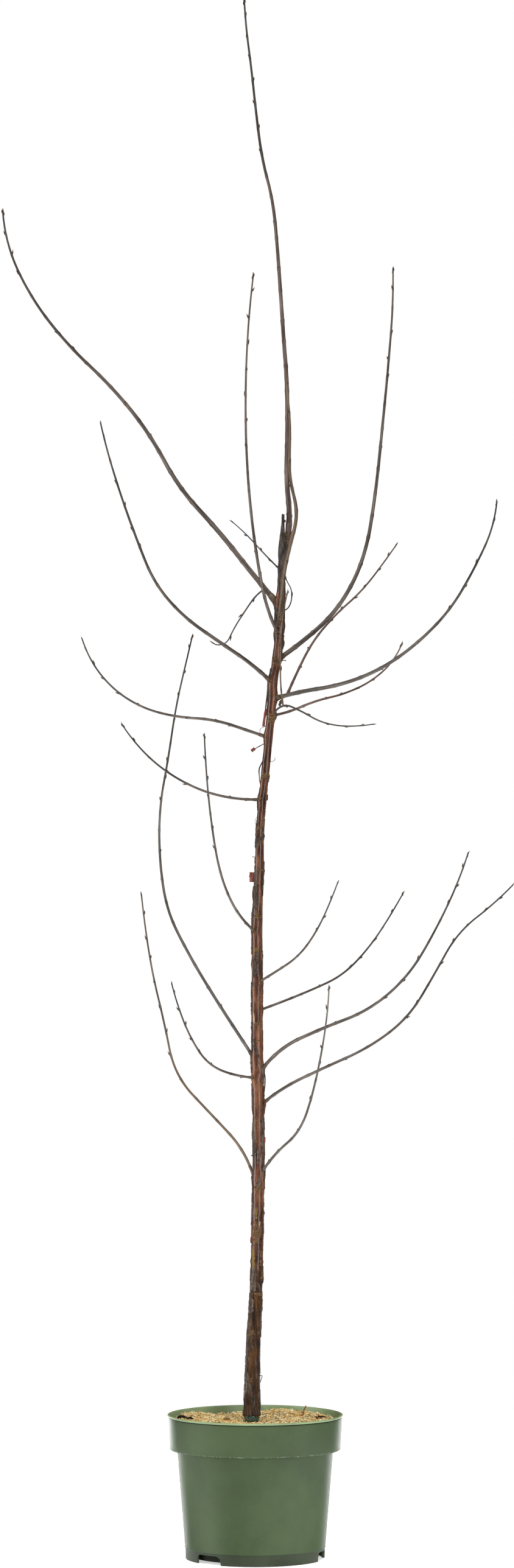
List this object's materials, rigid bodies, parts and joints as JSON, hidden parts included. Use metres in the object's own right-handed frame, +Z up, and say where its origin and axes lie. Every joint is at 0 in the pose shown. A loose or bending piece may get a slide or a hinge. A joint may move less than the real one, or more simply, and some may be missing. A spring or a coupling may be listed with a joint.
{
  "type": "sapling in a nursery pot",
  "caption": "Bare young tree with a thin upright trunk and rising, budded shoots, in a round green nursery pot filled with compost under a straw mulch.",
  "frame": {"origin": "middle of the pot's flat underside, on the ground it stands on", "axes": "+Z up the trunk, -Y the side seen from the front, +X to the right seen from there"},
  "size_m": [0.8497, 0.5673, 2.5716],
  "materials": {
    "pot": "satin moulded green plastic",
    "compost": "dry loose straw and wood fibre over dark compost",
    "trunk_bark": "glossy red-brown bark that peels in thin dark strips",
    "bough_bark": "satin grey-brown bark",
    "shoot_bark": "matt grey-brown shoots with brown buds"
  },
  "bodies": {
    "root": {"front_bough": "bough_bark", "front_whip": "shoot_bark", "leader_bough": "bough_bark", "leader_upper": "bough_bark", "leader_whip": "shoot_bark", "left_1_bough": "bough_bark", "left_1_whip": "shoot_bark", "left_2_bough": "bough_bark", "left_2_whip": "shoot_bark", "left_3_bough": "bough_bark", "left_3_upper": "bough_bark", "left_3_whip": "shoot_bark", "left_4_bough": "bough_bark", "left_4_whip": "shoot_bark", "left_5_bough": "bough_bark", "left_5_whip": "shoot_bark", "left_6_bough": "bough_bark", "left_6_whip": "shoot_bark", "left_7_bough": "bough_bark", "left_7_whip": "shoot_bark", "left_8_bough": "bough_bark", "left_8_whip": "shoot_bark", "left_9_bough": "bough_bark", "left_9_upper": "bough_bark", "left_9_whip": "shoot_bark", "pot": "pot", "right_1_bough": "bough_bark", "right_1_whip": "shoot_bark", "right_2_bough": "bough_bark", "right_2_whip": "shoot_bark", "right_3_bough": "bough_bark", "right_3_whip": "shoot_bark", "right_4_bough": "bough_bark", "right_4_whip": "shoot_bark", "right_5_bough": "bough_bark", "right_5_whip": "shoot_bark", "right_6_bough": "bough_bark", "right_6_whip": "shoot_bark", "right_7_bough": "bough_bark", "right_7_upper": "bough_bark", "right_7_whip": "shoot_bark", "right_8_bough": "bough_bark", "right_8_whip": "shoot_bark", "right_9_bough": "bough_bark", "right_9_upper": "bough_bark", "right_9_whip": "shoot_bark", "root_ball": "compost", "trunk": "trunk_bark", "twig_back": "shoot_bark", "twig_front": "shoot_bark", "twig_hanging": "shoot_bark", "twig_hook": "shoot_bark", "twig_low": "shoot_bark"}
  },
  "joints": []
}
